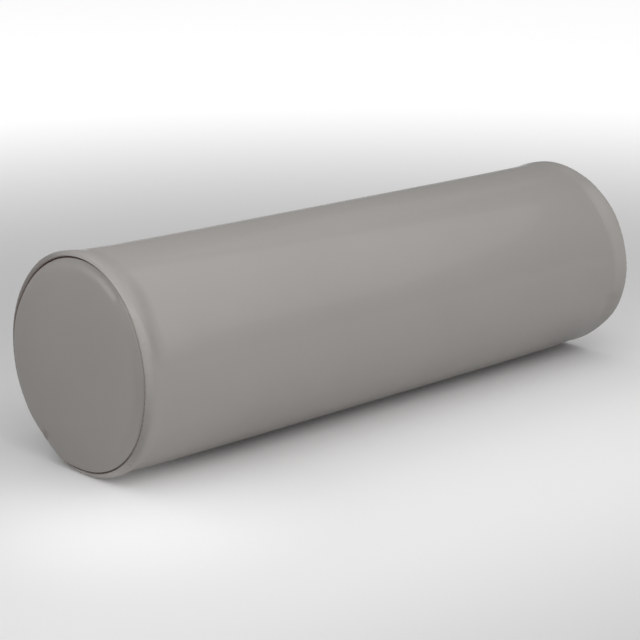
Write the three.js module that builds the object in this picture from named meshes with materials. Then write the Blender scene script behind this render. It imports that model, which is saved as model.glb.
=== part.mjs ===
import * as THREE from 'three';
import { mergeVertices } from 'three/addons/utils/BufferGeometryUtils.js';

// A knee roll: a firm foam roll in a smooth vinyl cover, lying on its side.
// Millimetres, +Z up, the roll along X, its underside on z = 0.
// The cover is one panel wrapped round the roll, and a round panel sewn into each end.
// Directions round the roll are in degrees, from the back (+Y) over the top (+Z) to the front.

// Driving dimensions
const rollLength = 491;
const rollRadius = 76;
const seamRadius = 72.6;
const rimRadius = 76.9;
const panelThickness = 2;
const seamGap = 0.3;

// How the roll lies: on a flat strip, its middle a little lower than its ends
const axisHeight = 75.4;
const middleSag = 1;

// Unevenness of the ends fades out this far from the seam
const fadeStart = 6;
const fadeEnd = 45;

const stepsRound = 64;
const vinylColour = 0x96928f;

// Face of an end panel: radius, and how far it stands out past the seam plane
const panelFace = [
  [0, 2.6],
  [25, 2.5],
  [45, 2.2],
  [58, 1.7],
  [64, 1.6],
  [68, 1.2],
  [70.5, 0.5],
  [seamRadius - seamGap, -0.7],
];

// The wrap panel from the seam to the plain roll: distance in from the seam plane, and radius.
// It swells over its own seam allowance, then dips in a valley before it lies flat on the foam.
const rimFace = (valley) => [
  [0.8, seamRadius],
  [0.2, seamRadius + 0.4],
  [0.1, seamRadius + 1.1],
  [0.5, seamRadius + 2.1],
  [1.4, rimRadius - 1.1],
  [2.8, rimRadius - 0.3],
  [4.5, rimRadius],
  [valley * 0.53, rimRadius - 0.3],
  [valley * 0.8, rollRadius - 0.3],
  [valley, rollRadius - 0.5],
  [valley * 1.4, rollRadius - 0.2],
  [valley * 2.1, rollRadius],
  [60, rollRadius],
  [120, rollRadius],
];

// Each end: how far in its valley lies, and how uneven it is, as rows of
// waves round the end, size of the swell, direction of its peak
const farWaves = [[1, 0.6, 24], [2, 0.9, -5], [3, 0.6, 72]];
const ends = {
  left: {
    valley: 13.5,
    rimWaves: [[1, 1.2, 22], [2, 0.4, 32], [3, 0.2, 6]],
    seamWaves: [[1, 1.5, 73], [2, 0.7, 108], [3, 1.1, 0]],
  },
  right: { valley: 19, rimWaves: farWaves, seamWaves: farWaves },
};

const waveHeight = (waves, angle) => {
  let height = 0;
  for (const [count, size, direction] of waves) {
    height += size * Math.cos(count * (angle - THREE.MathUtils.degToRad(direction)));
  }
  return height;
};

// Radius of a point once the unevenness of its end is added to the true circle
const unevenRadius = (inset, radius, angle, end) => {
  const towardsRim = THREE.MathUtils.smoothstep(radius, seamRadius, rimRadius);
  const seamSwell = waveHeight(end.seamWaves, angle);
  const rimSwell = waveHeight(end.rimWaves, angle);
  const swell = THREE.MathUtils.lerp(seamSwell, rimSwell, towardsRim);
  const fade = 1 - THREE.MathUtils.smoothstep(inset, fadeStart, fadeEnd);
  const share = Math.min(1, radius / seamRadius);
  return radius + swell * fade * share;
};

// Turns a profile of [x, radius] rows about the roll's axis, then lays the roll down
const turnedPiece = (profile) => {
  const points = profile.map(([x, radius]) => new THREE.Vector2(radius, x));
  const turned = new THREE.LatheGeometry(points, stepsRound);
  turned.rotateZ(-Math.PI / 2);
  turned.deleteAttribute('normal');
  turned.deleteAttribute('uv');
  const geometry = mergeVertices(turned);

  const place = geometry.getAttribute('position');
  for (let i = 0; i < place.count; i += 1) {
    const x = place.getX(i);
    const angle = Math.atan2(place.getZ(i), place.getY(i));
    const circle = Math.hypot(place.getY(i), place.getZ(i));
    const end = x < 0 ? ends.left : ends.right;
    const radius = unevenRadius(rollLength / 2 - Math.abs(x), circle, angle, end);
    const along = (2 * x) / rollLength;
    const sag = middleSag * Math.max(0, 1 - along * along);
    const height = axisHeight - sag + radius * Math.sin(angle);
    place.setXYZ(i, x, radius * Math.cos(angle), Math.max(0, height));
  }
  geometry.computeVertexNormals();
  return geometry;
};

const vinylMesh = (name, geometry) => {
  const vinyl = new THREE.MeshStandardMaterial({ color: vinylColour, roughness: 0.55, metalness: 0 });
  const mesh = new THREE.Mesh(geometry, vinyl);
  mesh.name = name;
  return mesh;
};

// The filled wrap panel: each end is hollowed just enough to seat its end panel
const wrapPanel = () => {
  const seatDepth = panelThickness + seamGap;
  const seat = panelFace.map(([radius, bulge]) => [seatDepth - bulge, radius]);
  const seatCorner = [seat.at(-1)[0], seamRadius];
  const leftRows = [...seat, seatCorner, ...rimFace(ends.left.valley)];
  const rightRows = [...seat, seatCorner, ...rimFace(ends.right.valley)];
  const leftHalf = leftRows.map(([inset, radius]) => [inset - rollLength / 2, radius]);
  const rightHalf = rightRows.map(([inset, radius]) => [rollLength / 2 - inset, radius]).reverse();
  return vinylMesh('wrap_panel', turnedPiece([...leftHalf, ...rightHalf]));
};

// A round end panel: a crowned sheet on the end of the foam, its edge turned down at the seam
const endPanel = (name, side) => {
  const outside = panelFace.map(([radius, bulge]) => [side * (rollLength / 2 + bulge), radius]);
  const inside = outside.map(([x, radius]) => [x - side * panelThickness, radius]);
  const leftProfile = [...outside, ...[...inside].reverse()];
  const rightProfile = [...inside, ...[...outside].reverse()];
  return vinylMesh(name, turnedPiece(side < 0 ? leftProfile : rightProfile));
};

const kneeRoll = new THREE.Group();
kneeRoll.add(wrapPanel());
kneeRoll.add(endPanel('end_panel_left', -1));
kneeRoll.add(endPanel('end_panel_right', 1));

// Centres the finished roll over the origin, since its ends are uneven
const box = new THREE.Box3().setFromObject(kneeRoll);
const middle = box.getCenter(new THREE.Vector3());
kneeRoll.position.set(-middle.x, -middle.y, 0);

export default kneeRoll;
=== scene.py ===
import bpy
import math
import numpy as np
from mathutils import Matrix, Vector


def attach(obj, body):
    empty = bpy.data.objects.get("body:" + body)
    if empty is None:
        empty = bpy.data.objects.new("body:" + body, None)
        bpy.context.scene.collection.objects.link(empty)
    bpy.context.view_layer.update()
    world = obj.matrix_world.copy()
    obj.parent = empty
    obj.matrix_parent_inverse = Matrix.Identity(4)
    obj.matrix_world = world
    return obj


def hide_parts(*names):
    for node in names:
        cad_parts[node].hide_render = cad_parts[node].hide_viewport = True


# A knee roll in smooth grey vinyl, lying on its side.
# Sizes are in millimetres until a mesh is made. Directions round the roll are in degrees,
# from the back (+Y) over the top (+Z) to the front (-Y). The near end is the one at -X.

mm = 0.001

print("loading the frame")
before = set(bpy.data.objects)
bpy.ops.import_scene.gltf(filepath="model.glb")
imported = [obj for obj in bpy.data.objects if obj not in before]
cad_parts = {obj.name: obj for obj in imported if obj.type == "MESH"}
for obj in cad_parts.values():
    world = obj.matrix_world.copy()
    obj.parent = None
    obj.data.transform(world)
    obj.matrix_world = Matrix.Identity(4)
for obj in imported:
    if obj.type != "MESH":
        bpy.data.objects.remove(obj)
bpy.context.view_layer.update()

scene = bpy.context.scene
scene.view_settings.view_transform = "Standard"
scene.view_settings.look = "None"

camera = {
    "azimuth": -43.453,
    "elevation": 15.255,
    "distance": 1376.78,
    "sideways": -18.247,
    "upwards": -12.815,
    "lookAt": (0.0, -0.327, 75.4),
    "lens": 103.18,
    "sensor": 36.0,
    "clip": (0.05, 60.0),  # metres
}


def makeCamera():
    turn, rise = math.radians(camera["azimuth"]), math.radians(camera["elevation"])
    back = Vector((math.sin(turn) * math.cos(rise), -math.cos(turn) * math.cos(rise), math.sin(rise)))
    right = Vector((math.cos(turn), math.sin(turn), 0))
    up = back.cross(right)
    data = bpy.data.cameras.new("camera")
    data.lens = camera["lens"]
    data.sensor_width = camera["sensor"]
    data.clip_start, data.clip_end = camera["clip"]
    holder = bpy.data.objects.new("camera", data)
    spot = Vector(camera["lookAt"]) + back * camera["distance"]
    spot += right * camera["sideways"] + up * camera["upwards"]
    axes = Matrix((right, up, back)).transposed().to_4x4()
    holder.matrix_world = Matrix.Translation(spot * mm) @ axes
    scene.collection.objects.link(holder)
    scene.camera = holder


makeCamera()

# the roll's own shape, which every piece of the cover follows

roll = {
    "length": 491.0,       # from seam to seam
    "radius": 76.0,
    "seamRadius": 72.6,
    "rimRadius": 76.9,
    "axisHeight": 75.4,
    "axisShift": -0.327,
    "middleSag": 1.0,
    "fadeStart": 6.0,      # the unevenness of the ends fades out between these two
    "fadeEnd": 45.0,
    "panelRadius": 72.3,   # of an end panel, which hides the wrap further in
    "edgeTurns": (73.2, 74.8),  # radii between which a sewn edge turns up from its seam
    "farApart": 12.0,      # drawn points further apart than this are joined in coarse steps
    "weld": 0.002,         # points closer than this become one
    "farWaves": [(1, 0.6, 24), (2, 0.9, -5), (3, 0.6, 72)],  # waves round, size, direction of the peak
    "nearRimWaves": [(1, 1.2, 22), (2, 0.4, 32), (3, 0.2, 6)],
    # radius of the near seam by direction
    "nearSeam": [(0, 72.9), (20, 72.5), (36, 72.2), (65, 73.0), (84, 74.3), (98, 75.2), (115, 75.7),
                 (131, 74.9), (145, 73.3), (157, 71.9), (167, 70.4), (178, 69.5), (188, 69.1), (196, 69.2),
                 (206, 69.8), (218, 71.0), (232, 71.6), (245, 71.8), (268, 72.0), (310, 72.5), (350, 72.9)],
}


def smoothStep(value, low, high):
    share = np.clip((value - low) / (high - low), 0, 1)
    return share * share * (3 - 2 * share)


# Reads rows of (direction, value) at every angle, with corners softened over some degrees.
def byDirection(rows, angle, soften=7):
    whole = np.arange(360.0)
    directions, values = zip(*rows)
    line = np.interp(whole, directions, values, period=360)
    spread = np.arange(-2 * soften, 2 * soften + 1)
    weights = np.exp(-0.5 * (2 * spread / soften) ** 2)
    line = sum(w * np.roll(line, s) for s, w in zip(spread, weights)) / weights.sum()
    return np.interp(angle, whole, line, period=360)


# A smooth hump, 1 at the centre and 0 from one width away.
def bump(value, centre, width):
    share = np.clip(np.abs(value - centre) / width, 0, 1)
    return (1 - share * share) ** 2


def angleFrom(angle, direction):
    return (angle - direction + 180) % 360 - 180


def waveHeight(waves, angle):
    return sum(size * np.cos(count * np.radians(angle - direction)) for count, size, direction in waves)


# Rests the roll on the floor: its axis sags a little in the middle, and its underside is flat.
def placeOnRoll(x, radius, angle):
    along = np.clip(2 * x / roll["length"], -1, 1)
    axis = roll["axisHeight"] - roll["middleSag"] * (1 - along * along)
    turn = np.radians(angle)
    y = roll["axisShift"] + radius * np.cos(turn)
    z = np.maximum(axis + radius * np.sin(turn), 0)
    return np.stack([x, y, z], -1)


# How the near end changes round the roll. Its edge is drawn four times, point for point: as a broad
# shelf over the seam allowance, pulled flush with the end panel, rolling softly down to the seam, and
# hidden by an end panel that stands proud of it. Each point is (distance in from the seam, radius).
# Other pairs of distances or radii are where something starts and ends.

nearEnd = {
    "shelf": [(2.6, 72.5), (1.8, 72.6), (1.1, 72.7), (0.5, 73.0), (0.3, 73.6), (0.45, 74.3), (0.9, 75.0),
              (1.8, 75.75), (3.0, 76.3), (4.5, 76.75), (6.5, 77.05), (8.5, 77.0), (10.5, 76.65), (12.5, 76.1),
              (14.5, 75.6), (17, 75.45), (22, 75.65), (32, 75.9), (60, 76), (120, 76)],
    "flush": [(2.6, 72.45), (1.5, 72.5), (0.7, 72.52), (0.25, 72.62), (0.2, 72.95), (0.45, 73.6), (1.0, 74.5),
              (2.0, 75.6), (3.2, 76.5), (4.6, 76.98), (6.0, 76.95), (8.0, 76.4), (10.2, 75.6), (12.2, 74.95),
              (14.2, 74.7), (18, 74.95), (25, 75.5), (38, 75.9), (60, 76), (120, 76)],
    "rolled": [(2.9, 72.4), (2.2, 72.5), (1.6, 72.7), (1.2, 73.05), (1.15, 73.5), (1.4, 74.05), (2.0, 74.65),
               (3.0, 75.2), (4.2, 75.6), (5.6, 75.9), (7.2, 76.1), (9.0, 76.2), (11.0, 76.2), (13.0, 76.15),
               (15.0, 76.1), (18, 76.05), (23, 76), (32, 76), (60, 76), (120, 76)],
    "proud": [(2.6, 74.7), (2.2, 74.8), (1.8, 74.95), (1.5, 75.15), (1.4, 75.4), (1.5, 75.7), (1.75, 76.0),
              (2.2, 76.3), (2.9, 76.6), (4.0, 76.82), (5.5, 76.9), (7.5, 76.8), (10.0, 76.5), (12.5, 76.1),
              (14.5, 75.75), (17, 75.6), (22, 75.7), (32, 75.9), (60, 76), (120, 76)],
    # how much of each, as rows of (direction, share); the rest is shelf
    "flushShare": [(98, 0), (106, 0.35), (116, 0.9), (122, 1), (150, 1), (160, 0.75), (170, 0.1), (176, 0),
                   (300, 0)],
    "rolledShare": [(150, 0), (160, 0.25), (170, 0.9), (178, 1), (212, 1), (226, 0.4), (240, 0.1), (260, 0)],
    "proudShare": [(274, 0), (280, 0.6), (286, 1), (8, 1), (20, 0.75), (30, 0.35), (40, 0.1), (50, 0)],
    # how much further out the rim stands, and then the valley behind it, in millimetres
    "trim": [(284, 0), (298, -0.7), (304, -1.5), (310, -1.45), (316, -0.75), (322, -0.1), (328, 0.1),
             (334, 0.45), (346, 0.75), (352, 0.55), (4, 0.4), (10, 0.4), (22, 0.15), (40, 0.2), (46, 0.3),
             (52, 0.45), (58, 0.8), (64, 0.8), (70, 0.45), (75, -0.15), (80, -0.55), (86, -0.6), (94, -0.3),
             (100, 0)],
    "trimFrom": 73.5, "trimGrows": 2.3,  # the radius where it starts, and how soon it is whole
    "trimFades": (7, 16),
    "fillAt": 21, "fillReach": 26,
    "fill": [(40, 0), (62, 0.4), (80, 0.6), (92, 0.3), (104, 0)],
    # how far the rim reaches in from the seam, against the drawing
    "reachGrows": (3.5, 9), "reachFades": (26, 60),
    "reach": [(30, 1.1), (84, 1.15), (104, 1.12), (113, 1.02), (131, 1.05), (140, 0.93), (156, 0.92),
              (168, 0.8), (240, 0.9), (320, 1.0)],
    # width of the open groove between the end panel and the rim
    "grooveOpen": [(2, 0.0), (14, 0.2), (34, 0.5), (52, 0.6), (66, 0.5), (82, 0.4), (96, 0.2), (106, 0.05),
                   (180, 0.0), (225, 0.1), (262, 0.1), (285, 0.0)],
    "grooveFades": (74.0, 76.6),
    "lip": 3.2,  # the lip of the groove reaches this far in from the seam
    # small gathers in the rim, from the stitches
    "gathers": [(60, 0.06), (115, 0.13), (155, 0.12), (190, 0.14), (205, 0.24), (248, 0.26), (275, 0.14),
                (330, 0.08)],
    "gatherFades": (1.0, 5.5),
    # painted light and painted shade over the rim, a painted highlight on its crest, and painted shade in the
    # dip past the valley:
    # where in from the seam each lies, and how far it reaches to both sides
    "rimAt": 1.5, "rimReach": 5.0,
    "crestAt": 5.0, "crestReach": 4.5,
    "valleyAt": 12.5, "dipShift": 1.5, "dipReach": 7.5,
    "paleRim": [(0, -0.5), (20, -0.6), (60, -0.3), (84, -0.7), (100, -1.0), (108, -0.5), (114, 0.2),
                (122, 0.8), (140, 1.3), (148, 1.8), (156, 2.4), (166, 2.3), (174, 1.3), (182, 0.2),
                (192, -1.0), (202, -2.2), (212, -2.4), (220, -1.9), (230, -0.6), (246, 1.6), (268, 1.6),
                (282, 0.8)],
    "paleCrest": [(78, 0), (88, 0.8), (96, 0.6), (106, 0.35), (116, 0), (300, 0)],
    "paintedShadeDip": [(80, 0.4), (94, 0.7), (106, 0.6), (113, 0.5), (122, 1.2), (132, 1.8), (140, 1.5), (150, 1.4),
                (158, 1.0), (166, 0.4), (174, 0), (300, 0)],
    # painted light or painted shade over the whole end of the roll
    "paleWide": [(144, 0), (150, -0.25), (160, -0.25), (168, 0), (204, 0), (220, -0.5), (230, -0.3),
                 (236, 0.6), (242, 1.6), (262, 1.6), (282, 0.8), (300, 0)],
    "wideFades": (10, 70),
    # how dark the seam is down in the groove, partly its reddish lining and partly painted shade
    "deepFades": (72.6, 73.8),
    "deep": [(2, 0.9), (20, 1.0), (88, 1.0), (98, 0.7), (108, 0.2), (116, 0), (212, 0), (232, 0.1),
             (262, 0.12), (285, 0.1), (345, 0.4)],
    # how much of that painted shade lies on the whole rim, where it is turned away from the lamps at the back
    "shade": [(325, 0), (340, 0.25), (356, 0.35), (6, 0.4), (16, 0.4), (48, 0.4), (58, 0.32), (66, 0.25),
              (74, 0.1), (82, 0)],
    "shadeFades": (4, 8),
}

# The far end has one drawing, as little of its rim shows.

farEnd = {
    "rim": [(2.6, 72.5), (1.8, 72.6), (1.1, 72.75), (0.5, 73.1), (0.3, 73.7), (0.45, 74.5), (1.05, 75.45),
            (2.0, 76.2), (3.3, 76.68), (5.0, 76.85), (7.5, 76.72), (10.2, 76.54), (13.0, 76.35),
            (15.5, 76.17), (18, 76.04), (22, 76), (32, 76), (60, 76), (120, 76)],
    # how much further the wrap climbs towards the seam, by direction
    "climb": [(60, 0.3), (112, 0.2), (120, 0.35), (128, 0.45), (134, 0.7), (142, 0.95), (150, 0.75),
              (158, 0.35), (168, 0.2), (178, 0.55), (192, 0.6), (204, 0.85), (214, 0.5), (224, 0.1),
              (300, 0.2)],
    "climbFrom": 19.0, "climbTo": 4.0,   # distances in from the seam
    "climbRadii": (72.8, 75.5),
    "hardness": 1.8, "foldRounds": 0.1,  # how crisp a crisp fold is, and how soon it is rounded
    # how much further out the rim stands
    "trim": [(66, 0.1), (75, -0.3), (87, 0), (102, -0.3), (110, -0.4), (120, -0.3), (132, -0.65), (150, -0.7),
             (174, -0.5), (184, -0.15), (192, -0.2), (210, 0), (220, -0.5), (230, -0.5), (250, 0)],
    "trimRadii": (73.5, 76.0), "trimFades": (5, 18),
    # 1 where the climb starts with a crisp fold
    "crisp": [(60, 0), (126, 0.1), (136, 0.8), (152, 1), (160, 0.4), (180, 0.2), (200, 0.2), (300, 0)],
    # a small tuck at the front, with a crisp upper edge: its direction, and degrees below it
    "tuckAt": 194.5, "tuckOpens": (-0.8, 2.2), "tuckFades": (2.5, 15.0),
    "tuckInset": 17.5, "tuckReach": 11.0, "tuckDepth": 0.9,
    # a long shallow dip before the climb, and the painted light and painted shade on the rim and over the
    # whole end
    "dipInset": 27.0, "dipReach": 60.0,
    "dip": [(100, 0), (122, 0.5), (134, 1.0), (158, 1.0), (180, 0.6), (196, 0.2), (206, 0), (300, 0)],
    "paleRim": [(80, 0.1), (120, 0.3), (132, 0.9), (150, 1.1), (170, 1.3), (180, 1.0), (191, 0.5),
                (196, -0.3), (204, -0.3), (214, -0.4), (240, -0.2)],
    "paleWide": [(138, 0), (150, 0.25), (164, 0.3), (172, 0.1), (184, 0), (200, 0), (206, -0.35), (214, -0.9),
                 (222, -1.6), (240, -1.5), (262, 0)],
    "wideFades": (20, 150),
    "rimFades": (13, 19),
    "gathers": 0.10, "gatherFades": (1.0, 5.0), "gathersTurned": 40,
    # how dark the far seam is down in its groove, partly its reddish lining and partly painted shade
    "deep": 0.5,
}

wrap = {
    "stepsRound": 612,
    # the hollow that seats an end panel, from its middle out
    "seat": [(-0.3, 0), (-0.2, 25), (0.1, 45), (0.6, 58), (0.9, 64), (2.0, 68), (2.9, 70.5), (3.4, 72.2)],
    # the seam along the roll: millimetres deep and high, degrees to each side
    "closingSeamAt": 318.0,
    "closingSeamDepth": 0.55, "closingSeamWide": 1.3,
    "closingSeamPuff": 0.16, "puffAt": 2.2, "puffWide": 2.4,
    "closingSeamFades": (1.0, 4.0),
    "fine": 1.0, "coarse": 9,  # millimetres between points, near the end seams and along the roll
}

endPanel = {
    "stepsRound": 480,
    # radius, and how far the face stands out past the seam, drawn four times as the rim is
    "shelf": [(0, 2.6), (25, 2.5), (45, 2.2), (58, 1.75), (63, 1.5), (66, 1.32), (68, 1.15), (69.8, 0.92),
              (71.0, 0.62), (71.75, 0.1), (72.15, -0.8), (72.3, -2.0)],
    "flush": [(0, 2.6), (25, 2.5), (45, 2.2), (58, 1.75), (63, 1.5), (66, 1.2), (68, 0.95), (69.5, 0.8),
              (70.8, 0.65), (71.7, 0.45), (72.25, 0.05), (72.4, -1.2)],
    "rolled": [(0, 2.6), (25, 2.5), (45, 2.2), (58, 1.75), (62.5, 1.45), (65, 1.1), (67, 0.65), (68.6, 0.1),
               (70, -0.5), (71.1, -1.1), (71.9, -1.75), (72.3, -2.4)],
    "proud": [(0, 2.6), (25, 2.5), (45, 2.25), (58, 1.9), (64, 1.65), (68, 1.4), (70.5, 1.15), (72.0, 0.85),
              (73.2, 0.4), (73.9, -0.2), (74.3, -1.0), (74.5, -2.0)],
    "back": [(72.2, -2.8), (70.5, -2.2), (68, -1.4), (64, -0.6), (45, 0.1), (25, 0.4), (0, 0.5)],
    # the near face steps down onto its seam allowance at the upper front
    "shoulder": [(80, 0), (94, 0.4), (106, 0.8), (116, 1.0), (127, 1.0), (131, 0), (300, 0)],
    "shoulderDrop": 1.9,
    "shoulderStarts": (0.1, 1.4), "shoulderEnds": (2.6, 7.0),  # in from the seam
    # painted highlight over that step, painted highlight or painted shade beside its edge, and painted shade
    # towards the front
    "ridge": [(60, 0), (84, 0.5), (92, 0.9), (98, 1.2), (108, 1.4), (118, 1.9), (126, 1.9), (130, 0.4),
              (132, 0), (300, 0)],
    "ridgeAt": 4.6, "ridgeReach": 3.6,
    "edge": [(84, 0.3), (136, 0.3), (146, 0), (160, -0.4), (178, -0.9), (200, -0.9), (214, -0.6), (226, -0.2),
             (250, 0.2), (275, 0.4), (300, -0.2), (330, 0), (60, 0)],
    "edgeFades": (4, 12),
    "frontPaintedShade": 0.4, "frontGrows": (-40, 50),
    # a short crease low at the back, and how much painted shade lies in it
    "creaseAt": -55.0, "creaseWide": 4.5, "creaseGrows": (62, 69),
    "creaseDepth": 0.8, "creasePaintedShade": 0.36,
    "pullGrows": (66, 73.5),    # radii over which the face follows an edge that is pulled in
    "deepFades": (-1.7, -0.8),  # past the seam: in the seam's dark, its lining and painted shade, below the first, out of it above the second
    "fine": 0.8, "coarse": 1.2,
}


# A smooth line through the points that never swings past them.
def monotone(place, value, at):
    step = np.diff(place)
    slope = np.diff(value) / step
    tangent = np.zeros(len(value))
    same = slope[:-1] * slope[1:] > 0
    inner = np.zeros(len(slope) - 1)
    first, second = slope[:-1][same], slope[1:][same]
    before, after = step[:-1][same], step[1:][same]
    wideA, wideB = 2 * after + before, after + 2 * before
    inner[same] = (wideA + wideB) / (wideA / first + wideB / second)
    tangent[1:-1] = inner
    tangent[0], tangent[-1] = slope[0], slope[-1]
    span = np.clip(np.searchsorted(place, at, side="right") - 1, 0, len(step) - 1)
    t = (at - place[span]) / step[span]
    h = step[span]
    return ((1 + 2 * t) * (1 - t) ** 2 * value[span] + t * (1 - t) ** 2 * h * tangent[span]
            + t * t * (3 - 2 * t) * value[span + 1] - t * t * (1 - t) * h * tangent[span + 1])


# Draws rows of points as closely spaced smooth lines that stay point for point the same.
def smoothLines(drawn, fine, coarse):
    drawn = [np.array(rows, float) for rows in drawn]
    at = [0.0]
    for i in range(len(drawn[0]) - 1):
        gap = max(np.hypot(*(rows[i + 1] - rows[i])) for rows in drawn)
        count = max(1, math.ceil(gap / (fine if gap < roll["farApart"] else coarse)))
        at.extend(i + (j + 1) / count for j in range(count))
    order, at = np.arange(len(drawn[0]), dtype=float), np.array(at)
    return [np.stack([monotone(order, column, at) for column in rows.T], -1) for rows in drawn]


# Which point of the drawn line each vertex was turned from, some thousands at a time to save memory.
def nearestOnLine(line, x, radius, batch=20000):
    found = np.zeros(len(x), int)
    for start in range(0, len(x), batch):
        part = slice(start, start + batch)
        away = np.abs(x[part, None] - line[:, 0]) + np.abs(radius[part, None] - line[:, 1])
        found[part] = away.argmin(1)
    return found


drawings = ("shelf", "flush", "rolled", "proud")


# Blends the same point of the four drawings by direction.
def drawnAt(lines, point, angle):
    shares = [byDirection(nearEnd[kind + "Share"], angle) for kind in drawings[1:]]
    shares.insert(0, 1 - sum(shares))
    return sum(share[:, None] * line[point] for share, line in zip(shares, lines))


def addSocket(tree, name, kind, way="INPUT"):
    tree.interface.new_socket(name, in_out=way, socket_type=kind)


# Sweeps a profile of (radius - roll radius, -x) round the roll's axis, which lies along X.
def makeTurningTree():
    tree = bpy.data.node_groups.new("turnedCover", "GeometryNodeTree")
    addSocket(tree, "Profile", "NodeSocketGeometry")
    addSocket(tree, "Roll Radius", "NodeSocketFloat")
    addSocket(tree, "Steps Round", "NodeSocketInt")
    addSocket(tree, "Weld", "NodeSocketFloat")
    addSocket(tree, "Cover", "NodeSocketMaterial")
    addSocket(tree, "Geometry", "NodeSocketGeometry", way="OUTPUT")
    new, link = tree.nodes.new, tree.links.new
    given, result = new("NodeGroupInput"), new("NodeGroupOutput")
    profile = new("GeometryNodeMeshToCurve")
    circle = new("GeometryNodeCurvePrimitiveCircle")
    upright = new("GeometryNodeSetCurveNormal")
    upright.mode = "Z_UP"
    sweep = new("GeometryNodeCurveToMesh")
    weld = new("GeometryNodeMergeByDistance")
    lay = new("GeometryNodeTransform")
    lay.inputs["Rotation"].default_value = (0, math.pi / 2, 0)
    smooth = new("GeometryNodeSetShadeSmooth")
    realize = new("GeometryNodeRealizeInstances")
    finish = new("GeometryNodeSetMaterial")
    link(given.outputs["Profile"], profile.inputs["Mesh"])
    link(given.outputs["Steps Round"], circle.inputs["Resolution"])
    link(given.outputs["Roll Radius"], circle.inputs["Radius"])
    link(circle.outputs["Curve"], upright.inputs["Curve"])
    link(upright.outputs["Curve"], sweep.inputs["Curve"])
    link(profile.outputs["Curve"], sweep.inputs["Profile Curve"])
    link(sweep.outputs["Mesh"], weld.inputs["Geometry"])
    link(given.outputs["Weld"], weld.inputs["Distance"])
    link(weld.outputs["Geometry"], lay.inputs["Geometry"])
    link(lay.outputs["Geometry"], smooth.inputs["Geometry"])
    link(smooth.outputs["Geometry"], realize.inputs["Geometry"])
    link(realize.outputs["Geometry"], finish.inputs["Geometry"])
    link(given.outputs["Cover"], finish.inputs["Material"])
    link(finish.outputs["Geometry"], result.inputs["Geometry"])
    return tree


def setInputs(modifier, values):
    for item in modifier.node_group.interface.items_tree:
        if item.item_type == "SOCKET" and item.in_out == "INPUT" and item.name in values:
            modifier[item.identifier] = values[item.name]


# Runs a mesh through a node tree and returns the result as a plain object.
def throughTree(name, mesh, tree, inputs):
    draft = bpy.data.objects.new(name + "_draft", mesh)
    scene.collection.objects.link(draft)
    modifier = draft.modifiers.new("tree", "NODES")
    modifier.node_group = tree
    setInputs(modifier, inputs)
    evaluated = draft.evaluated_get(bpy.context.evaluated_depsgraph_get())
    plain = bpy.data.meshes.new_from_object(evaluated)
    plain.name = name
    bpy.data.objects.remove(draft)
    piece = bpy.data.objects.new(name, plain)
    scene.collection.objects.link(piece)
    return piece


# chain: rows of (x, radius), from the pole at the larger x to the one at the smaller x.
def turnedPiece(name, chain, stepsRound, material):
    profile = bpy.data.meshes.new(name + "_profile")
    points = [((radius - roll["radius"]) * mm, -x * mm, 0) for x, radius in chain]
    profile.from_pydata(points, [(i, i + 1) for i in range(len(points) - 1)], [])
    return throughTree(name, profile, turningTree, {
        "Roll Radius": roll["radius"] * mm, "Steps Round": stepsRound, "Weld": roll["weld"] * mm,
        "Cover": material})


# Where each vertex lies: along the roll, out from its axis and round it.
def readTurned(piece):
    count = len(piece.data.vertices)
    place = np.zeros(count * 3)
    piece.data.vertices.foreach_get("co", place)
    place = place.reshape(-1, 3) / mm
    x, y, z = place.T
    return x, np.hypot(y, z), np.degrees(np.arctan2(z, y)) % 360


def writePlaces(piece, places, **marks):
    piece.data.vertices.foreach_set("co", (places * mm).astype(np.float32).ravel())
    for name, values in marks.items():
        piece.data.attributes.new(name, "FLOAT", "POINT").data.foreach_set("value", values.astype(np.float32))
    piece.data.update()


# The ends are sewn a little out of round: the radius of each point, once swelled.
def unevenEnd(x, radius, angle):
    inset = roll["length"] / 2 - np.abs(x)
    near = x < 0
    towardsRim = smoothStep(radius, roll["seamRadius"], roll["rimRadius"])
    nearSeam = byDirection(roll["nearSeam"], angle) - roll["seamRadius"]
    farSeam = waveHeight(roll["farWaves"], angle)
    nearRim = waveHeight(roll["nearRimWaves"], angle)
    seamSwell = np.where(near, nearSeam, farSeam)
    rimSwell = np.where(near, nearRim, farSeam)
    swell = seamSwell + (rimSwell - seamSwell) * towardsRim
    fade = 1 - smoothStep(inset, roll["fadeStart"], roll["fadeEnd"])
    share = np.minimum(1, radius / roll["seamRadius"])
    return radius + swell * fade * share


def makeMaterial(name):
    material = bpy.data.materials.new(name)
    material.use_nodes = True
    nodes = material.node_tree.nodes
    shader = nodes["Principled BSDF"]
    return material, nodes, material.node_tree.links, shader


vinylLook = {
    "colour": (0.300, 0.281, 0.266, 1),
    "paler": (0.309, 0.290, 0.275, 1),
    "cloudSize": 90.0,        # soft uneven patches of colour
    "cloudEdges": (0.35, 0.65),
    "roughness": (0.44, 0.52),
    "smearSize": 28.0,        # soft uneven patches of gloss
    "smearEdges": (0.3, 0.7),
    "grainSize": 0.9,         # the embossed pebble grain
    "grainHeight": 0.022,
    "poreSize": 0.35,
    "poreHeight": 0.008,
    "paintedLightScale": (0.72, 1.28),  # darkening where the vinyl is slack, lightening where it is stretched,
    "paleRange": 2.8,         # painted shade and painted highlight as a scale of the colour, reached when the painted light attribute is this far below or above 0
    "liningAndShadeColour": (0.080, 0.052, 0.044, 1),  # the seam's reddish lining darkened with painted shade, where the seam-dark attribute is 1
    "coat": 0.24,             # the thin lacquer that gives the crisp edge to a soft gloss
    "coatRoughness": 0.10,
}


def noiseNode(nodes, links, place, size, detail, seed):
    noise = nodes.new("ShaderNodeTexNoise")
    noise.noise_dimensions = "4D"
    noise.inputs["W"].default_value = seed
    noise.inputs["Scale"].default_value = 1 / (size * mm)
    noise.inputs["Detail"].default_value = detail
    links.new(place, noise.inputs["Vector"])
    return noise.outputs["Fac"]


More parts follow.
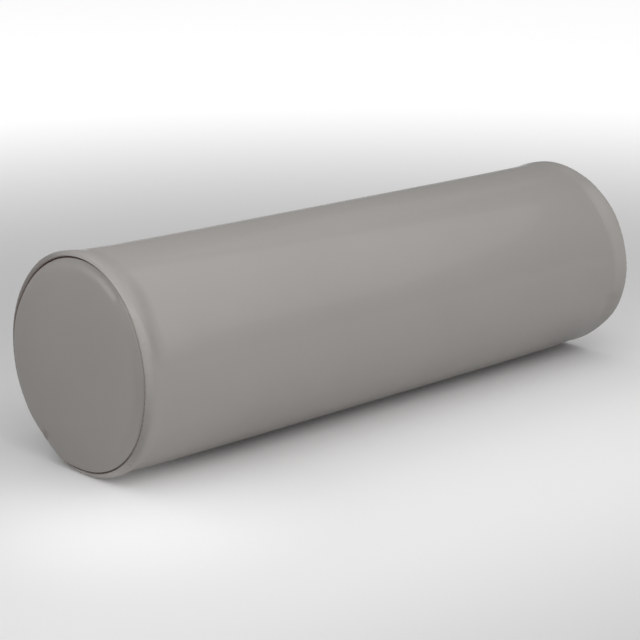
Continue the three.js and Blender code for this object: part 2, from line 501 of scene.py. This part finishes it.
def rangeNode(nodes, links, value, low, high, toLow, toHigh):
    scaled = nodes.new("ShaderNodeMapRange")
    for name, number in (("From Min", low), ("From Max", high), ("To Min", toLow), ("To Max", toHigh)):
        scaled.inputs[name].default_value = number
    links.new(value, scaled.inputs["Value"])
    return scaled.outputs["Result"]


def attributeNode(nodes, name):
    reader = nodes.new("ShaderNodeAttribute")
    reader.attribute_name = name
    return reader.outputs["Fac"]


def mixColours(nodes, links, share, first, second):
    mix = nodes.new("ShaderNodeMix")
    mix.data_type = "RGBA"  # for colours its sockets are 0, 6 and 7 in, and 2 out
    links.new(share, mix.inputs[0])
    for slot, colour in ((6, first), (7, second)):
        if isinstance(colour, tuple):  # a fixed colour; anything else is a node's output
            mix.inputs[slot].default_value = colour
        else:
            links.new(colour, mix.inputs[slot])
    return mix.outputs[2]


def makeVinyl():
    material, nodes, links, shader = makeMaterial("grey_vinyl")
    place = nodes.new("ShaderNodeTexCoord").outputs["Object"]
    cloud = noiseNode(nodes, links, place, vinylLook["cloudSize"], detail=3.0, seed=4.0)
    patch = rangeNode(nodes, links, cloud, *vinylLook["cloudEdges"], 0, 1)
    colour = mixColours(nodes, links, patch, vinylLook["colour"], vinylLook["paler"])
    # painted light and shade: the colour is scaled by the painted light attribute, then blended towards the
    # seam's dark colour, partly its reddish lining and partly painted shade
    paleRange = vinylLook["paleRange"]
    pale = rangeNode(nodes, links, attributeNode(nodes, "pale"), -paleRange, paleRange, *vinylLook["paintedLightScale"])
    paintedLightColour = nodes.new("ShaderNodeVectorMath")
    paintedLightColour.operation = "SCALE"
    links.new(colour, paintedLightColour.inputs[0])
    links.new(pale, paintedLightColour.inputs["Scale"])
    deep = attributeNode(nodes, "deep")
    shaded = mixColours(nodes, links, deep, paintedLightColour.outputs["Vector"], vinylLook["liningAndShadeColour"])
    links.new(shaded, shader.inputs["Base Color"])
    smear = noiseNode(nodes, links, place, vinylLook["smearSize"], detail=3.0, seed=9.0)
    gloss = rangeNode(nodes, links, smear, *vinylLook["smearEdges"], *vinylLook["roughness"])
    links.new(gloss, shader.inputs["Roughness"])
    shader.inputs["Coat Weight"].default_value = vinylLook["coat"]
    shader.inputs["Coat Roughness"].default_value = vinylLook["coatRoughness"]
    pebble = nodes.new("ShaderNodeTexVoronoi")
    pebble.feature = "SMOOTH_F1"
    pebble.inputs["Scale"].default_value = 1 / (vinylLook["grainSize"] * mm)
    links.new(place, pebble.inputs["Vector"])
    pores = noiseNode(nodes, links, place, vinylLook["poreSize"], detail=1.0, seed=2.0)
    grain = nodes.new("ShaderNodeBump")
    grain.inputs["Strength"].default_value = 1
    grain.inputs["Distance"].default_value = vinylLook["grainHeight"] * mm
    grain.invert = True
    links.new(pebble.outputs["Distance"], grain.inputs["Height"])
    fine = nodes.new("ShaderNodeBump")
    fine.inputs["Strength"].default_value = 1
    fine.inputs["Distance"].default_value = vinylLook["poreHeight"] * mm
    links.new(pores, fine.inputs["Height"])
    links.new(grain.outputs["Normal"], fine.inputs["Normal"])
    links.new(fine.outputs["Normal"], shader.inputs["Normal"])
    return material


threadLook = {
    "colour": (0.17, 0.085, 0.07, 1),
    "lighter": (0.24, 0.14, 0.12, 1),
    "roughness": 0.6,
    "plyLength": 0.9,
    "plyHeight": 0.08,
    "bandLength": 0.3,  # length of a band at scale 1
    "waviness": 1.5,
}


def makeThread():
    material, nodes, links, shader = makeMaterial("seam_thread")
    place = nodes.new("ShaderNodeTexCoord").outputs["Object"]
    ply = nodes.new("ShaderNodeTexWave")
    ply.bands_direction = "DIAGONAL"
    ply.inputs["Scale"].default_value = threadLook["bandLength"] / (threadLook["plyLength"] * mm)
    ply.inputs["Distortion"].default_value = threadLook["waviness"]
    links.new(place, ply.inputs["Vector"])
    colour = mixColours(nodes, links, ply.outputs["Fac"], threadLook["colour"], threadLook["lighter"])
    links.new(colour, shader.inputs["Base Color"])
    shader.inputs["Roughness"].default_value = threadLook["roughness"]
    twist = nodes.new("ShaderNodeBump")
    twist.inputs["Distance"].default_value = threadLook["plyHeight"] * mm
    links.new(ply.outputs["Fac"], twist.inputs["Height"])
    links.new(twist.outputs["Normal"], shader.inputs["Normal"])
    return material


vinyl = makeVinyl()
thread = makeThread()
turningTree = makeTurningTree()

print("turning the wrap panel")


# two rows of waves round the end, each drifting to and fro, and their sum swelling and sinking
tucks = {
    "coarse": 83, "coarseDrift": 1.3, "coarseDrifts": 5,
    "fine": 131, "fineDrift": 2.1, "fineDrifts": 7, "fineShare": 0.6,
    "steady": 0.65, "swell": 0.35, "swells": 11, "swellTurned": 1,
}


# Small irregular tucks round a sewn edge.
def gathers(angle, amount):
    turn = np.radians(angle)
    coarse = np.cos(tucks["coarse"] * turn + tucks["coarseDrift"] * np.sin(tucks["coarseDrifts"] * turn))
    fine = np.cos(tucks["fine"] * turn + tucks["fineDrift"] * np.cos(tucks["fineDrifts"] * turn))
    swelling = tucks["steady"] + tucks["swell"] * np.cos(tucks["swells"] * turn + tucks["swellTurned"])
    return amount * (coarse + tucks["fineShare"] * fine) * swelling


# Moves the blended drawing: the groove opens, the rim is longer or stands out, and gathers run over it.
def shapeNearEnd(inset, radius, angle):
    opened = byDirection(nearEnd["grooveOpen"], angle) * (1 - smoothStep(radius, *nearEnd["grooveFades"]))
    radius = radius + opened * (inset < nearEnd["lip"])
    longer = byDirection(nearEnd["reach"], angle) - 1
    grown = smoothStep(inset, *nearEnd["reachGrows"]) * (1 - smoothStep(inset, *nearEnd["reachFades"]))
    inset = inset * (1 + longer * grown)
    edge = smoothStep(radius, *roll["edgeTurns"]) * (1 - smoothStep(inset, *nearEnd["gatherFades"]))
    low = nearEnd["trimFrom"] - byDirection(nearEnd["proudShare"], angle)
    trimmed = smoothStep(radius, low, low + nearEnd["trimGrows"])
    trimmed = trimmed * (1 - smoothStep(inset, *nearEnd["trimFades"]))
    filled = bump(inset, nearEnd["fillAt"], nearEnd["fillReach"])
    moved = byDirection(nearEnd["trim"], angle, soften=4) * trimmed
    moved = moved + byDirection(nearEnd["fill"], angle) * filled
    return inset, radius + moved + gathers(angle, byDirection(nearEnd["gathers"], angle)) * edge


# The wrap dips, then climbs to the far rim over a soft or a crisp fold.
def shapeFarEnd(inset, radius, angle):
    share = np.clip((farEnd["climbFrom"] - inset) / (farEnd["climbFrom"] - farEnd["climbTo"]), 0, 1)
    soft = smoothStep(share, 0, 1)
    hard = (1 - (1 - share) ** farEnd["hardness"]) * smoothStep(share, 0, farEnd["foldRounds"])
    rise = soft + (hard - soft) * byDirection(farEnd["crisp"], angle)
    rise = rise * smoothStep(radius, *farEnd["climbRadii"])
    dip = byDirection(farEnd["dip"], angle) * bump(inset, farEnd["dipInset"], farEnd["dipReach"])
    radius = radius - dip * (1 - rise)
    radius = radius + byDirection(farEnd["climb"], angle, soften=3) * rise
    below = angleFrom(angle, farEnd["tuckAt"])
    sunk = smoothStep(below, *farEnd["tuckOpens"]) * (1 - smoothStep(below, *farEnd["tuckFades"]))
    radius = radius - farEnd["tuckDepth"] * sunk * bump(inset, farEnd["tuckInset"], farEnd["tuckReach"])
    edge = smoothStep(radius, *roll["edgeTurns"]) * (1 - smoothStep(inset, *farEnd["gatherFades"]))
    trimmed = smoothStep(radius, *farEnd["trimRadii"]) * (1 - smoothStep(inset, *farEnd["trimFades"]))
    moved = byDirection(farEnd["trim"], angle, soften=4) * trimmed
    return inset, radius + moved + gathers(angle + farEnd["gathersTurned"], farEnd["gathers"]) * edge


# The wrap is closed along its length by a plain seam low at the back.
def closingSeam(inset, angle):
    away = angleFrom(angle, wrap["closingSeamAt"])
    groove = bump(away, 0, wrap["closingSeamWide"])
    puffed = sum(bump(away, side * wrap["puffAt"], wrap["puffWide"]) for side in (1, -1))
    moved = wrap["closingSeamPuff"] * puffed - wrap["closingSeamDepth"] * groove
    return moved * smoothStep(inset, *wrap["closingSeamFades"])


# Painted light or painted shade over the whole end of the roll.
def paleWide(end, inset, angle):
    return byDirection(end["paleWide"], angle) * (1 - smoothStep(inset, *end["wideFades"]))


# Painted light and shade on the vinyl, and the seam's dark, partly its reddish lining and partly painted
# shade in the groove. Inside the roll it is all seam dark.
def wrapTint(inset, radius, angle, isNear, outside):
    onRim = bump(inset, nearEnd["rimAt"], nearEnd["rimReach"])
    onCrest = bump(inset, nearEnd["crestAt"], nearEnd["crestReach"])
    dipAt = nearEnd["valleyAt"] * byDirection(nearEnd["reach"], angle) + nearEnd["dipShift"]
    inDip = bump(inset, dipAt, nearEnd["dipReach"])
    nearPaintedLight = onRim * byDirection(nearEnd["paleRim"], angle)
    nearPaintedLight = nearPaintedLight + onCrest * byDirection(nearEnd["paleCrest"], angle)
    nearPaintedLight = nearPaintedLight - inDip * byDirection(nearEnd["paintedShadeDip"], angle) + paleWide(nearEnd, inset, angle)
    onFarRim = 1 - smoothStep(inset, *farEnd["rimFades"])
    farPaintedLight = onFarRim * byDirection(farEnd["paleRim"], angle, soften=3) + paleWide(farEnd, inset, angle)
    pale = np.where(isNear, nearPaintedLight, farPaintedLight) * outside
    inGroove = (1 - smoothStep(radius, *nearEnd["deepFades"])) * (inset < nearEnd["lip"])
    deep = inGroove * np.where(isNear, byDirection(nearEnd["deep"], angle), farEnd["deep"])
    shade = byDirection(nearEnd["shade"], angle) * (1 - smoothStep(inset, *nearEnd["shadeFades"])) * isNear
    return pale, np.where(outside, np.maximum(deep, shade), 1)


def makeWrap():
    half = roll["length"] / 2
    fine, coarse = wrap["fine"], wrap["coarse"]
    nearLines = smoothLines([wrap["seat"] + nearEnd[kind] for kind in drawings], fine, coarse)
    farLine, = smoothLines([wrap["seat"] + farEnd["rim"]], fine, coarse)
    line = np.vstack([farLine, nearLines[0][::-1]])
    inLine = np.where(np.arange(len(line)) < len(farLine), half - line[:, 0], line[:, 0] - half)
    line = np.stack([inLine, line[:, 1]], -1)
    piece = turnedPiece("vinyl_wrap", line, wrap["stepsRound"], vinyl)
    x, radius, angle = readTurned(piece)
    point = nearestOnLine(line, x, radius)
    isNear = point >= len(farLine)
    at = np.where(isNear, len(line) - 1 - point, 0)
    drawn = drawnAt(nearLines, at, angle)
    inset = np.where(isNear, drawn[:, 0], half - x)
    radius = np.where(isNear, drawn[:, 1], radius)
    outside = radius > roll["panelRadius"]
    nearInset, nearRadius = shapeNearEnd(inset, radius, angle)
    farInset, farRadius = shapeFarEnd(inset, radius, angle)
    inset = np.where(outside, np.where(isNear, nearInset, farInset), inset)
    radius = np.where(outside, np.where(isNear, nearRadius, farRadius), radius)
    x = np.where(isNear, inset - half, half - inset)
    pale, deep = wrapTint(inset, radius, angle, isNear, outside)
    radius = unevenEnd(x, radius, angle) + closingSeam(inset, angle) * outside
    writePlaces(piece, placeOnRoll(x, radius, angle), pale=pale, deep=deep)
    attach(piece, "root")
    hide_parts("wrap_panel")


makeWrap()

print("turning the end panels")


# How far the proud edge is pulled in from its drawing, as the rim beside it is.
def pulledIn(angle):
    inwards = np.minimum(byDirection(nearEnd["trim"], angle, soften=4), 0)
    return inwards * byDirection(nearEnd["proudShare"], angle)


def creaseOfFace(radius, angle):
    away = angleFrom(angle, endPanel["creaseAt"])
    return bump(away, 0, endPanel["creaseWide"]) * smoothStep(radius, *endPanel["creaseGrows"])


# The near end panel: a step down onto its seam allowance, and a short crease.
def shapeNearFace(bulge, radius, angle):
    fromSeam = roll["panelRadius"] - radius
    drop = endPanel["shoulderDrop"] * (1 - smoothStep(fromSeam, *endPanel["shoulderEnds"]))
    drop = drop * smoothStep(fromSeam, *endPanel["shoulderStarts"])
    drop = drop * byDirection(endPanel["shoulder"], angle, soften=2)
    return bulge - drop - endPanel["creaseDepth"] * creaseOfFace(radius, angle)


# Painted light on the face: a painted highlight over the step onto the seam allowance, painted highlight or
# shade beside its edge, and painted shade towards the front.
def palenessOfFace(radius, angle):
    fromSeam = roll["panelRadius"] - radius
    ridge = bump(fromSeam, endPanel["ridgeAt"], endPanel["ridgeReach"])
    ridge = ridge * byDirection(endPanel["ridge"], angle, soften=2)
    edge = (1 - smoothStep(fromSeam, *endPanel["edgeFades"])) * byDirection(endPanel["edge"], angle)
    front = smoothStep(-radius * np.cos(np.radians(angle)), *endPanel["frontGrows"])
    return ridge + edge - endPanel["frontPaintedShade"] * front


def makeEndPanel(name, side, node):
    half = roll["length"] / 2
    drawn = [[(bulge, radius) for radius, bulge in endPanel[kind] + endPanel["back"]] for kind in drawings]
    lines = smoothLines(drawn, endPanel["fine"], endPanel["coarse"])
    shelf = lines[0]
    order = slice(None) if side > 0 else slice(None, None, -1)
    line = np.stack([side * (half + shelf[:, 0]), shelf[:, 1]], -1)[order]
    piece = turnedPiece(name, line, endPanel["stepsRound"], vinyl)
    x, radius, angle = readTurned(piece)
    if side < 0:
        at = len(line) - 1 - nearestOnLine(line, x, radius)
        bulge, radius = drawnAt(lines, at, angle).T
        radius = radius + pulledIn(angle) * smoothStep(radius, *endPanel["pullGrows"])
        isFace = at <= shelf[:, 0].argmin()
        x = -half - np.where(isFace, shapeNearFace(bulge, radius, angle), bulge)
        # painted highlight and shade on the face; the seam's dark at its edge, with painted shade in the
        # crease
        pale = isFace * palenessOfFace(radius, angle)
        deepest = byDirection(nearEnd["deep"], angle)
        crease = endPanel["creasePaintedShade"] * creaseOfFace(radius, angle) * isFace
    else:
        bulge, pale, deepest, crease = x - half, np.zeros(len(x)), farEnd["deep"], 0
    deep = np.maximum((1 - smoothStep(bulge, *endPanel["deepFades"])) * deepest, crease)
    writePlaces(piece, placeOnRoll(x, unevenEnd(x, radius, angle), angle), pale=pale, deep=deep)
    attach(piece, "root")
    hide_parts(node)


makeEndPanel("near_end_cover", -1, "end_panel_left")
makeEndPanel("far_end_cover", 1, "end_panel_right")

print("sewing the end seams")

stitches = {
    "count": 116,
    "length": 3.1,
    "threadRadius": 0.32,
    "unevenness": 0.12,
    "seed": 3,
    "sides": 8, "rings": 7,  # of one stitch
    "inset": 1.35,         # how deep the thread lies in the groove
    "radius": 72.75,
    "pathStep": 1.5,       # degrees
    # how it follows the near groove: further in where the edge is rolled, out where it is open or proud
    "rolledInset": 0.5, "rolledRadius": -0.3, "openRadius": 0.5, "proudRadius": 2.1,
}


# Lays small stitches end to end along a closed path.
def makeStitchTree():
    tree = bpy.data.node_groups.new("seamStitches", "GeometryNodeTree")
    addSocket(tree, "Path", "NodeSocketGeometry")
    addSocket(tree, "Stitch Count", "NodeSocketInt")
    addSocket(tree, "Stitch Length", "NodeSocketFloat")
    addSocket(tree, "Thread Radius", "NodeSocketFloat")
    addSocket(tree, "Unevenness", "NodeSocketFloat")
    addSocket(tree, "Seed", "NodeSocketInt")
    addSocket(tree, "Thread", "NodeSocketMaterial")
    addSocket(tree, "Geometry", "NodeSocketGeometry", way="OUTPUT")
    new, link = tree.nodes.new, tree.links.new
    given, result = new("NodeGroupInput"), new("NodeGroupOutput")
    path = new("GeometryNodeMeshToCurve")
    spots = new("GeometryNodeCurveToPoints")
    spots.mode = "COUNT"
    stitch = new("GeometryNodeMeshUVSphere")
    stitch.inputs["Segments"].default_value = stitches["sides"]
    stitch.inputs["Rings"].default_value = stitches["rings"]
    stitch.inputs["Radius"].default_value = 1
    half = new("ShaderNodeMath")
    half.operation = "MULTIPLY"
    half.inputs[1].default_value = 0.5
    shape = new("ShaderNodeCombineXYZ")
    uneven = new("FunctionNodeRandomValue")
    uneven.data_type = "FLOAT"
    least = new("ShaderNodeMath")
    least.operation = "SUBTRACT"
    least.inputs[0].default_value = 1
    most = new("ShaderNodeMath")
    most.inputs[1].default_value = 1
    scaled = new("ShaderNodeVectorMath")
    scaled.operation = "SCALE"
    place = new("GeometryNodeInstanceOnPoints")
    smooth = new("GeometryNodeSetShadeSmooth")
    realize = new("GeometryNodeRealizeInstances")
    finish = new("GeometryNodeSetMaterial")
    link(given.outputs["Path"], path.inputs["Mesh"])
    link(path.outputs["Curve"], spots.inputs["Curve"])
    link(given.outputs["Stitch Count"], spots.inputs["Count"])
    link(given.outputs["Stitch Length"], half.inputs[0])
    link(given.outputs["Thread Radius"], shape.inputs["X"])
    link(given.outputs["Thread Radius"], shape.inputs["Y"])
    link(half.outputs["Value"], shape.inputs["Z"])
    link(given.outputs["Unevenness"], least.inputs[1])
    link(given.outputs["Unevenness"], most.inputs[0])
    link(least.outputs["Value"], uneven.inputs["Min"])
    link(most.outputs["Value"], uneven.inputs["Max"])
    link(given.outputs["Seed"], uneven.inputs["Seed"])
    link(shape.outputs["Vector"], scaled.inputs[0])
    link(uneven.outputs[1], scaled.inputs["Scale"])
    link(spots.outputs["Points"], place.inputs["Points"])
    link(stitch.outputs["Mesh"], place.inputs["Instance"])
    link(spots.outputs["Rotation"], place.inputs["Rotation"])
    link(scaled.outputs["Vector"], place.inputs["Scale"])
    link(place.outputs["Instances"], smooth.inputs["Geometry"])
    link(smooth.outputs["Geometry"], realize.inputs["Geometry"])
    link(realize.outputs["Geometry"], finish.inputs["Geometry"])
    link(given.outputs["Thread"], finish.inputs["Material"])
    link(finish.outputs["Geometry"], result.inputs["Geometry"])
    return tree


stitchTree = makeStitchTree()


# Follows the seam a little below its edges, so that the thread shows only where the groove is open.
def makeStitches(name, side):
    angle = np.arange(0, 360, stitches["pathStep"])
    inset = np.full(len(angle), stitches["inset"])
    radius = np.full(len(angle), stitches["radius"])
    if side < 0:
        rolled = byDirection(nearEnd["rolledShare"], angle)
        inset = inset + stitches["rolledInset"] * rolled
        radius = radius + stitches["rolledRadius"] * rolled + pulledIn(angle)
        radius = radius + stitches["openRadius"] * byDirection(nearEnd["grooveOpen"], angle)
        radius = radius + stitches["proudRadius"] * byDirection(nearEnd["proudShare"], angle)
    x = side * (roll["length"] / 2 - inset)
    places = placeOnRoll(x, unevenEnd(x, radius, angle), angle) * mm
    path = bpy.data.meshes.new(name + "_path")
    path.from_pydata(places.tolist(), [(i, (i + 1) % len(angle)) for i in range(len(angle))], [])
    piece = throughTree(name, path, stitchTree, {
        "Stitch Count": stitches["count"], "Stitch Length": stitches["length"] * mm,
        "Thread Radius": stitches["threadRadius"] * mm, "Unevenness": stitches["unevenness"],
        "Seed": stitches["seed"], "Thread": thread})
    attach(piece, "root")


makeStitches("near_seam_stitches", -1)
makeStitches("far_seam_stitches", 1)

print("setting the floor and the lights")

studio = {
    "floorHalf": 12.0,  # metres
    "floorColour": (0.86, 0.86, 0.86, 1),
    "floorRoughness": 0.9,
    "floorGloss": 0.1,
    # the floor gives off a little light, more of it further away, so that it is evenly pale
    "glow": (0.02, 0.67),
    "glowFrom": 0.35, "glowTo": 1.7,  # metres from the roll
    # light spilt on the floor before the near end: its centre and reach in metres, and its strength
    "spillAt": (-0.27, -0.08, 0), "spillReach": 0.15, "spill": 0.14,
    "worldStrength": 0.339,
    "lampsFace": (0, 0, 60),  # millimetres
}


def makeFloor():
    half = studio["floorHalf"]
    mesh = bpy.data.meshes.new("floor")
    corners = [(-half, -half, 0), (half, -half, 0), (half, half, 0), (-half, half, 0)]
    mesh.from_pydata(corners, [], [(0, 1, 2, 3)])
    floor = bpy.data.objects.new("floor", mesh)
    scene.collection.objects.link(floor)
    material, nodes, links, shader = makeMaterial("pale_floor")
    shader.inputs["Base Color"].default_value = studio["floorColour"]
    shader.inputs["Roughness"].default_value = studio["floorRoughness"]
    shader.inputs["Specular IOR Level"].default_value = studio["floorGloss"]
    place = nodes.new("ShaderNodeTexCoord")
    away = nodes.new("ShaderNodeVectorMath")
    away.operation = "LENGTH"
    glow = nodes.new("ShaderNodeMapRange")
    glow.interpolation_type = "SMOOTHSTEP"
    glow.inputs["From Min"].default_value = studio["glowFrom"]
    glow.inputs["From Max"].default_value = studio["glowTo"]
    glow.inputs["To Min"].default_value, glow.inputs["To Max"].default_value = studio["glow"]
    shader.inputs["Emission Color"].default_value = (1, 1, 1, 1)
    links.new(place.outputs["Object"], away.inputs[0])
    links.new(away.outputs["Value"], glow.inputs["Value"])
    fromSpill = nodes.new("ShaderNodeVectorMath")
    fromSpill.operation = "DISTANCE"
    fromSpill.inputs[1].default_value = studio["spillAt"]
    links.new(place.outputs["Object"], fromSpill.inputs[0])
    spill = nodes.new("ShaderNodeMapRange")
    spill.interpolation_type = "SMOOTHSTEP"
    spill.inputs["From Min"].default_value, spill.inputs["From Max"].default_value = 0, studio["spillReach"]
    spill.inputs["To Min"].default_value, spill.inputs["To Max"].default_value = studio["spill"], 0
    links.new(fromSpill.outputs["Value"], spill.inputs["Value"])
    both = nodes.new("ShaderNodeMath")
    links.new(glow.outputs["Result"], both.inputs[0])
    links.new(spill.outputs["Result"], both.inputs[1])
    links.new(both.outputs["Value"], shader.inputs["Emission Strength"])
    mesh.materials.append(material)


makeFloor()

# each lamp: its centre, width and height in millimetres, watts, and where it does not face the roll,
# the directions of its two edges
lamps = {
    "key": {"centre": (-36, -174, 281), "edges": ((0.146, 0.951, 0.271), (-0.97, 0.19, -0.13)),
            "size": (430, 1000), "watts": 1.05},
    "front": {"centre": (-286, -785, 1071), "size": (350, 350), "watts": 0.93},
    "frontFar": {"centre": (377, -1036, 764), "size": (350, 1000), "watts": 1.10},
    "rightBack": {"centre": (1061, 613, 1103), "size": (500, 500), "watts": 0.25},
    "topBack": {"centre": (0, 1400, 1800), "size": (1600, 1200), "watts": 5.9},
}


def makeLamps():
    middle = Vector(studio["lampsFace"])
    for name, lamp in lamps.items():
        data = bpy.data.lights.new(name, "AREA")
        data.shape = "RECTANGLE"
        data.size, data.size_y = lamp["size"][0] * mm, lamp["size"][1] * mm
        data.energy = lamp["watts"]
        centre = Vector(lamp["centre"])
        if "edges" in lamp:
            across, along = (Vector(edge).normalized() for edge in lamp["edges"])
        else:
            across = Vector((0, 0, 1)).cross(centre - middle).normalized()
            along = (centre - middle).cross(across).normalized()
        along = (along - across * along.dot(across)).normalized()
        axes = Matrix((across, along, across.cross(along))).transposed().to_4x4()
        holder = bpy.data.objects.new(name, data)
        holder.matrix_world = Matrix.Translation(centre * mm) @ axes
        holder.visible_camera = False
        scene.collection.objects.link(holder)
    world = bpy.data.worlds.new("world")
    world.use_nodes = True
    world.node_tree.nodes["Background"].inputs["Color"].default_value = (1, 1, 1, 1)
    world.node_tree.nodes["Background"].inputs["Strength"].default_value = studio["worldStrength"]
    scene.world = world


makeLamps()
